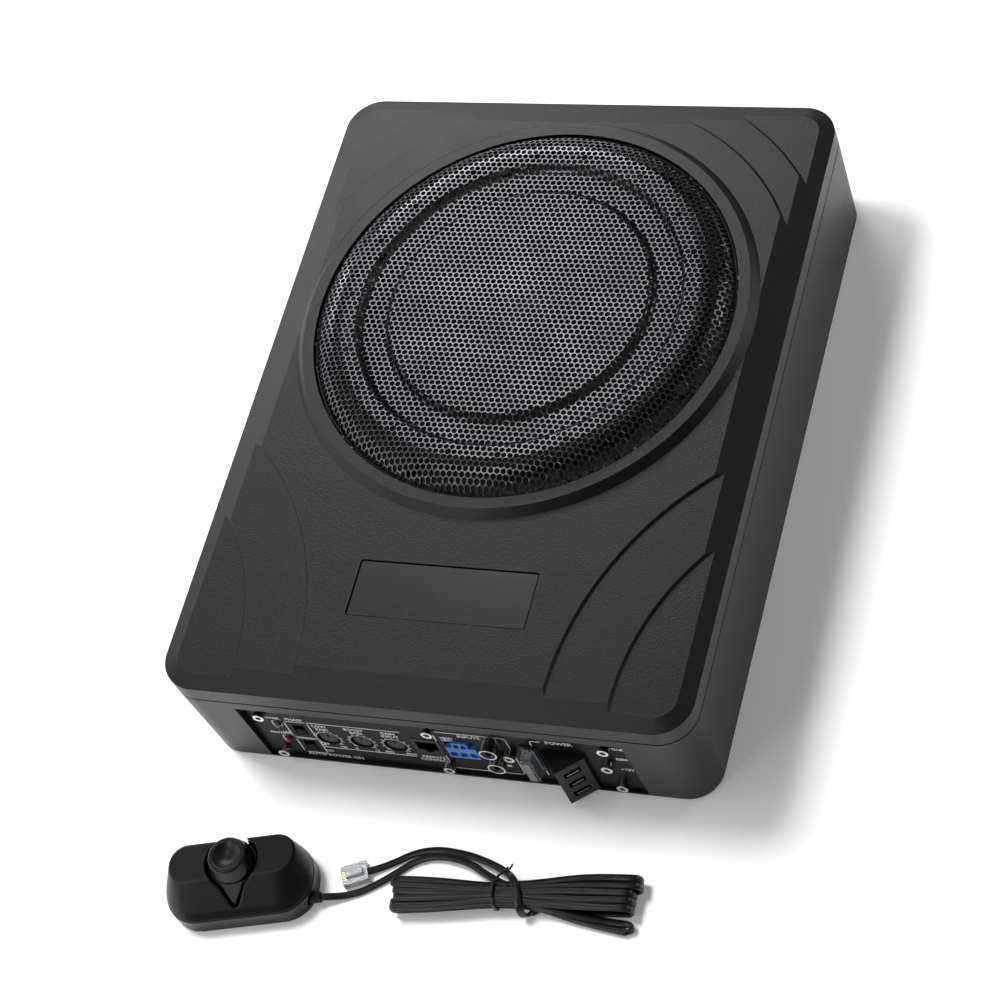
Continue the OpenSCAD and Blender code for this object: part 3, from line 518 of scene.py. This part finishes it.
def perforation_tree(cell):
    """Sets the cell on every point of a staggered grid inside a ring."""
    tree = bpy.data.node_groups.new("perforated_sheet", "GeometryNodeTree")
    for name, kind in (("Geometry", "NodeSocketGeometry"), ("Pitch", "NodeSocketFloat"),
                       ("Rows", "NodeSocketInt"),
                       ("Inner Radius", "NodeSocketFloat"), ("Outer Radius", "NodeSocketFloat")):
        tree.interface.new_socket(name, in_out="INPUT", socket_type=kind)
    tree.interface.new_socket("Geometry", in_out="OUTPUT", socket_type="NodeSocketGeometry")
    given = add(tree, "NodeGroupInput").outputs
    pitch = given["Pitch"]
    count = given["Rows"]
    gaps = add(tree, "ShaderNodeMath", {0: count, 1: 1.0}, operation="SUBTRACT").outputs[0]
    row_step = add(tree, "ShaderNodeMath", {0: pitch, 1: math.sqrt(3) / 2}, operation="MULTIPLY").outputs[0]
    wide = add(tree, "ShaderNodeMath", {0: pitch, 1: gaps}, operation="MULTIPLY").outputs[0]
    high = add(tree, "ShaderNodeMath", {0: row_step, 1: gaps}, operation="MULTIPLY").outputs[0]
    grid = add(tree, "GeometryNodeMeshGrid",
               {"Vertices X": count, "Vertices Y": count, "Size X": wide, "Size Y": high})
    index = add(tree, "GeometryNodeInputIndex").outputs[0]
    row = add(tree, "ShaderNodeMath", {0: index, 1: count}, operation="MODULO").outputs[0]
    odd = add(tree, "ShaderNodeMath", {0: row, 1: 2.0}, operation="MODULO").outputs[0]
    half_pitch = add(tree, "ShaderNodeMath", {0: pitch, 1: 0.5}, operation="MULTIPLY").outputs[0]
    stagger = add(tree, "ShaderNodeMath", {0: odd, 1: half_pitch}, operation="MULTIPLY").outputs[0]
    offset = add(tree, "ShaderNodeCombineXYZ", {"X": stagger})
    moved = add(tree, "GeometryNodeSetPosition",
                {"Geometry": grid.outputs["Mesh"], "Offset": offset.outputs[0]})
    position = add(tree, "GeometryNodeInputPosition").outputs[0]
    length = add(tree, "ShaderNodeVectorMath", {0: position}, operation="LENGTH").outputs["Value"]
    inside = add(tree, "ShaderNodeMath", {0: length, 1: given["Outer Radius"]},
                 operation="LESS_THAN").outputs[0]
    outside = add(tree, "ShaderNodeMath", {0: length, 1: given["Inner Radius"]},
                  operation="GREATER_THAN").outputs[0]
    kept = add(tree, "ShaderNodeMath", {0: inside, 1: outside}, operation="MULTIPLY").outputs[0]
    sheet = add(tree, "GeometryNodeObjectInfo", {"Object": cell})
    copies = add(tree, "GeometryNodeInstanceOnPoints",
                 {"Points": moved.outputs[0], "Instance": sheet.outputs["Geometry"],
                                                         "Selection": kept})
    real = add(tree, "GeometryNodeRealizeInstances", {"Geometry": copies.outputs[0]})
    merged = add(tree, "GeometryNodeMergeByDistance", {"Geometry": real.outputs[0], "Distance": 0.02})
    surfaced = add(tree, "GeometryNodeSetMaterial",
                   {"Geometry": merged.outputs[0], "Material": GRILLE_STEEL})
    end = add(tree, "NodeGroupOutput")
    tree.links.new(surfaced.outputs[0], end.inputs[0])
    return tree


def grow(name, tree, values):
    """The plain mesh that a tree makes from these named inputs."""
    holder = bpy.data.objects.new(name, bpy.data.meshes.new(name))
    scene.collection.objects.link(holder)
    modifier = holder.modifiers.new(tree.name, "NODES")
    modifier.node_group = tree
    for item in tree.interface.items_tree:
        if item.name in values:
            modifier[item.identifier] = values[item.name]
    bpy.context.view_layer.update()
    mesh = bpy.data.meshes.new_from_object(holder.evaluated_get(bpy.context.evaluated_depsgraph_get()))
    bpy.data.objects.remove(holder)
    obj = bpy.data.objects.new(name, mesh)
    scene.collection.objects.link(obj)
    return obj


cell = web_cell()
scene.collection.objects.link(cell)
sheet_tree = perforation_tree(cell)
profile_r, profile_z = zip(*PROFILE)
for name, inner, outer in (("grille_centre", -1.0, 62.0), ("grille_middle", 62.0, 84.0),
                           ("grille_edge", 84.0, 100.3)):
    web = grow(name, sheet_tree, {"Pitch": PITCH, "Rows": 81, "Inner Radius": inner, "Outer Radius": outer})
    co = np.zeros(len(web.data.vertices) * 3, np.float32)
    web.data.vertices.foreach_get("co", co)
    co = co.reshape(-1, 3)
    r = np.hypot(co[:, 0], co[:, 1])
    co[:, 2] = np.interp(r, profile_r, profile_z)
    co[:, 0] += GRILLE_AT[0]
    co[:, 1] += GRILLE_AT[1]
    web.data.vertices.foreach_set("co", (co * MM).ravel())
    web.data.update()
    thick = web.modifiers.new("sheet thickness", "SOLIDIFY")
    thick.thickness = 0.9 * MM
    thick.offset = -1
    settle(web, None, "case", smooth=False, slot="grille_steel", stands_for=("grille",))
bpy.data.objects.remove(cell)

# The rolled hem that holds the perforated sheet's edge
hem = [(99.4, 70.0), (99.8, 69.6), (101.2, 69.6), (101.7, 70.1), (101.7, 71.6), (101.3, 72.2),
       (100.7, 72.4), (100.3, 72.1), (100.2, 71.0),
       (99.6, 70.6)]
HEM_SIDES = 160
hem_verts = [((GRILLE_AT[0] + r * math.cos(2 * math.pi * k / HEM_SIDES)) * MM,
              (GRILLE_AT[1] + r * math.sin(2 * math.pi * k / HEM_SIDES)) * MM, z * MM)
             for k in range(HEM_SIDES) for r, z in hem]
hem_size = len(hem)
hem_faces = [(k * hem_size + i, ((k + 1) % HEM_SIDES) * hem_size + i,
              ((k + 1) % HEM_SIDES) * hem_size + (i + 1) % hem_size, k * hem_size + (i + 1) % hem_size)
             for k in range(HEM_SIDES) for i in range(hem_size)]
# The hem takes the basket's black, which is deepened to paint shade, in place of the grille's lacquer
rim = piece("grille_hem", hem_verts, hem_faces, BASKET_COAT_GRILLE_SHADE, "case", slot="grille_steel",
            stands_for=("grille",))

# ---------------------------------------------------------------- driver's soft rings
def turned(name, outline, count, finish, body, slot, stands_for):
    """A closed outline of radius and height in mm, turned round the driver's axis."""
    m = len(outline)
    points = []
    for k in range(count):
        a = 2 * math.pi * k / count
        points += [mm(GRILLE_AT[0] + r * math.cos(a), GRILLE_AT[1] + r * math.sin(a), z) for r,
                   z in outline]
    faces = [(k * m + i, (k + 1) % count * m + i, (k + 1) % count * m + (i + 1) % m, k * m + (i + 1) % m)
             for k in range(count) for i in range(m)]
    shape = bmesh.new()
    mesh = bpy.data.meshes.new(name)
    mesh.from_pydata(points, [], faces)
    shape.from_mesh(mesh)
    return from_bmesh(name, shape, finish, body, slot=slot, stands_for=stands_for)


def follow_cone(obj):
    """Bakes the ring's placement into its mesh."""
    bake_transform(obj)


def sheet_outline(centre_line, thickness):
    """A thin sheet's closed outline from the points along its middle."""
    top = [(r, z + thickness / 2) for r, z in centre_line]
    return top + [(r, z - thickness / 2) for r, z in reversed(centre_line)]


ROLL_R, ROLL_AT, ROLL_Z = 4.7, 81.5, 65.7
roll = [(76.0, ROLL_Z)] + [(ROLL_AT - ROLL_R * math.cos(math.pi * k / 16),
                            ROLL_Z + ROLL_R * math.sin(math.pi * k / 16))
                           for k in range(17)] + [(87.0, ROLL_Z)]
surround = turned("surround_roll", sheet_outline(roll, 0.7), 160, BUTYL, None, "butyl", ("surround",))
follow_cone(surround)
WAVES = 7
pleats = [(21.0 + 39.0 * k / 84,
           38.9 + 0.85 * math.cos(2 * math.pi * WAVES * k / 84) * (1 if 6 < k < 78 else 0.3))
          for k in range(85)]
spider = turned("spider_pleats", sheet_outline(pleats, 0.5), 120, CLOTH, None, "spider_cloth", ("spider",))
follow_cone(spider)


# ---------------------------------------------------------------- panel printing
PANEL_FACE_Y, INK_LIFT = -162.8, 0.03
PRINT_Y = PANEL_FACE_Y - INK_LIFT


def ink_boxes(lines, wide=0.55, thick=0.05):
    """Thin printed lines on the panel: each stretch of each line is a closed sliver of ink."""
    points, faces = [], []
    for line in lines:
        for (xa, za), (xb, zb) in zip(line, line[1:]):
            along = Vector((xb - xa, zb - za)).normalized() * wide / 2
            across = Vector((-along.y, along.x))
            corners = [(xa - along.x + across.x, za - along.y + across.y),
                       (xb + along.x + across.x, zb + along.y + across.y),
                       (xb + along.x - across.x, zb + along.y - across.y),
                       (xa - along.x - across.x, za - along.y - across.y)]
            base = len(points)
            points += [mm(x, PRINT_Y + thick / 2, z) for x, z in corners] + [mm(x, PRINT_Y - thick / 2, z)
                                                                             for x, z in corners]
            faces += [tuple(base + i for i in f)
                      for f in ((3, 2, 1, 0), (4, 5, 6, 7), (0, 1, 5, 4), (1, 2, 6, 5), (2, 3, 7, 6),
                                (3, 0, 4, 7))]
    return points, faces


def rounded_box(x0, x1, z0, z1, r):
    """A frame's outline with round corners, closed."""
    line = []
    for cx, cz, start in ((x1 - r, z1 - r, 0), (x0 + r, z1 - r, 90), (x0 + r, z0 + r, 180),
                          (x1 - r, z0 + r, 270)):
        line += [(cx + r * math.cos(math.radians(start + 30 * k)),
                  cz + r * math.sin(math.radians(start + 30 * k))) for k in range(4)]
    return line + [line[0]]


def dial_arc(cx, cz, r):
    """The scale round a knob, open at the bottom."""
    return [(cx + r * math.cos(math.radians(a)), cz + r * math.sin(math.radians(a)))
            for a in range(-50, 231, 10)]


KNOB_X, KNOB_Z = (-56.5, -40.0, -23.5), 21.5
lines = [rounded_box(-74.5, -62.8, 20.2, 35.0, 1.0), rounded_box(-74.0, -62.5, 5.8, 19.2, 1.0),
         [(-62.5, 35.5), (-17.5, 35.5)], [(-61.5, 12.7), (-16.5, 12.7)],
         rounded_box(-0.8, 34.2, 5.3, 39.7, 2.2), [(45.8, 8.0), (45.8, 39.0), (46.8, 40.0), (50.5, 40.0)],
         [(-80.6, 29.6), (-80.6, 34.4), (-79.4, 34.4)], [(-80.2, 15.6), (-80.2, 20.4), (-79.0, 20.4)]]
for x in KNOB_X:
    lines.append(dial_arc(x, KNOB_Z, 6.0))
    for a in range(-40, 221, 26):
        c, s = math.cos(math.radians(a)), math.sin(math.radians(a))
        lines.append([(x + 6.3 * c, KNOB_Z + 6.3 * s), (x + 7.0 * c, KNOB_Z + 7.0 * s)])
ink_points, ink_faces = ink_boxes(lines)

# Plain working words and numbers, as on any amplifier's panel: (text, x, z, height in mm)
WORDS = [("PHASE", -68.6, 36.3, 2.0), ("0", -76.6, 30.0, 1.7), ("180", -77.0, 23.0, 1.7),
         ("AUTO POWER ON", -59.0, 3.4, 2.2),
         ("ON", -60.6, 8.2, 1.7), ("OFF", -60.4, 15.0, 1.7), ("LOW", -57.5, 31.9, 2.0),
         ("PASS", -57.0, 29.0, 2.0),
         ("BOOST", -40.6, 31.9, 2.0), ("BASS", -40.2, 29.0, 2.0), ("GAIN", -23.8, 31.9, 2.0),
         ("INPUT", -23.6, 29.0, 2.0),
         ("50", -61.5, 13.6, 1.6), ("150", -51.5, 13.6, 1.6), ("0", -45.0, 13.6, 1.6),
         ("12", -35.0, 13.6, 1.6),
         ("MIN", -28.8, 13.6, 1.6), ("MAX", -18.0, 13.6, 1.6), ("POWER", -80.0, 36.2, 1.7),
         ("PROTECT", -80.0, 22.0, 1.6),
         ("REMOTE", -7.5, 12.6, 2.0), ("CONTROL", -7.5, 9.9, 2.0), ("INPUTS", 16.5, 36.4, 2.2),
         ("HIGH", 5.0, 33.6, 1.6),
         ("LEVEL", 5.2, 31.4, 1.6), ("L", 21.6, 37.0, 1.8), ("R", 21.6, 18.6, 1.8),
         ("LINE", 27.3, 12.0, 1.8),
         ("POWER", 59.5, 38.9, 2.4), ("GND", 87.2, 39.4, 1.9), ("REM", 86.2, 30.0, 1.9),
         ("+12V", 86.4, 20.4, 1.9)]


def printed_words():
    """The words as thin flat ink, their outlines turned to mesh and set upright on the panel."""
    points, faces = [], []
    for text, x, z, height in WORDS:
        curve = bpy.data.curves.new("word", "FONT")
        curve.body = text
        curve.align_x = "CENTER"
        curve.size = height * 1.5
        curve.extrude = 0.02
        curve.resolution_u = 2
        curve.offset = 0.06
        word = bpy.data.objects.new("word", curve)
        scene.collection.objects.link(word)
        bpy.context.view_layer.update()
        mesh = bpy.data.meshes.new_from_object(word.evaluated_get(bpy.context.evaluated_depsgraph_get()))
        base = len(points)
        points += [mm(x + v.co.x, PRINT_Y - v.co.z, z + v.co.y) for v in mesh.vertices]
        faces += [tuple(base + i for i in face.vertices) for face in mesh.polygons]
        bpy.data.objects.remove(word)
    return points, faces


word_points, word_faces = printed_words()
ink_faces += [tuple(i + len(ink_points) for i in face) for face in word_faces]
ink_points += word_points
piece("panel_print", ink_points, ink_faces, WHITE_INK, "case", smooth=False, slot="panel_black")

# ---------------------------------------------------------------- light and floor
floor = bpy.data.objects.new("floor", bpy.data.meshes.new("floor"))
floor.data.from_pydata([(-6, -6, 0), (6, -6, 0), (6, 6, 0), (-6, 6, 0)], [], [(0, 1, 2, 3)])
scene.collection.objects.link(floor)
WHITE_FLOOR = finish("pale_floor", "f6f6f6", 0.8, rough_spread=0.02,
                     **{"Emission Color": (1, 1, 1, 1), "Emission Strength": 0.15})
floor.data.materials.append(WHITE_FLOOR)


def softbox(name, at, size, power, aim=(0, 0, 0.05)):
    """A rectangular area light, turned towards a point."""
    light = bpy.data.objects.new(name, bpy.data.lights.new(name, "AREA"))
    light.data.shape = "RECTANGLE"
    light.data.size, light.data.size_y = size
    light.data.energy = power
    light.location = at
    light.rotation_euler = (Vector(aim) - Vector(at)).to_track_quat("-Z", "Y").to_euler()
    scene.collection.objects.link(light)
    return light


softbox("back_box", (-0.75, 1.35, 1.0), (0.8, 0.6), 11)
key = softbox("side_box", (-0.95, 0.35, 1.9), (0.7, 0.7), 44)
key.visible_glossy = False
softbox("low_strip", (-1.3, 0.85, 0.72), (0.3, 0.3), 2.5)
softbox("grille_box", (-0.56, 0.80, 1.28), (0.3, 0.3), 1.6)
softbox("top_box", (-0.6, -0.27, 1.6), (0.45, 0.45), 2.6)
softbox("front_box", (-0.6, -1.1, 1.05), (0.4, 0.4), 3)
softbox("right_fill", (0.75, 0.55, 0.5), (0.3, 0.3), 1.4, (0.25, 0.12, 0))
world = bpy.data.worlds.new("studio")
scene.world = world
world.use_nodes = True
sky = world.node_tree
way = add(sky, "ShaderNodeTexCoord").outputs["Generated"]
slant = add(sky, "ShaderNodeVectorMath", {0: way, 1: (-0.95, -0.15, -0.1)}, operation="DOT_PRODUCT")
glow = add(sky, "ShaderNodeMapRange",
           {"Value": slant.outputs["Value"], "From Min": 0.5, "From Max": 0.95, "To Min": 0.1,
            "To Max": 1.6})
sky.nodes["Background"].inputs["Color"].default_value = (1, 1, 1, 1)
sky.links.new(glow.outputs["Result"], sky.nodes["Background"].inputs["Strength"])
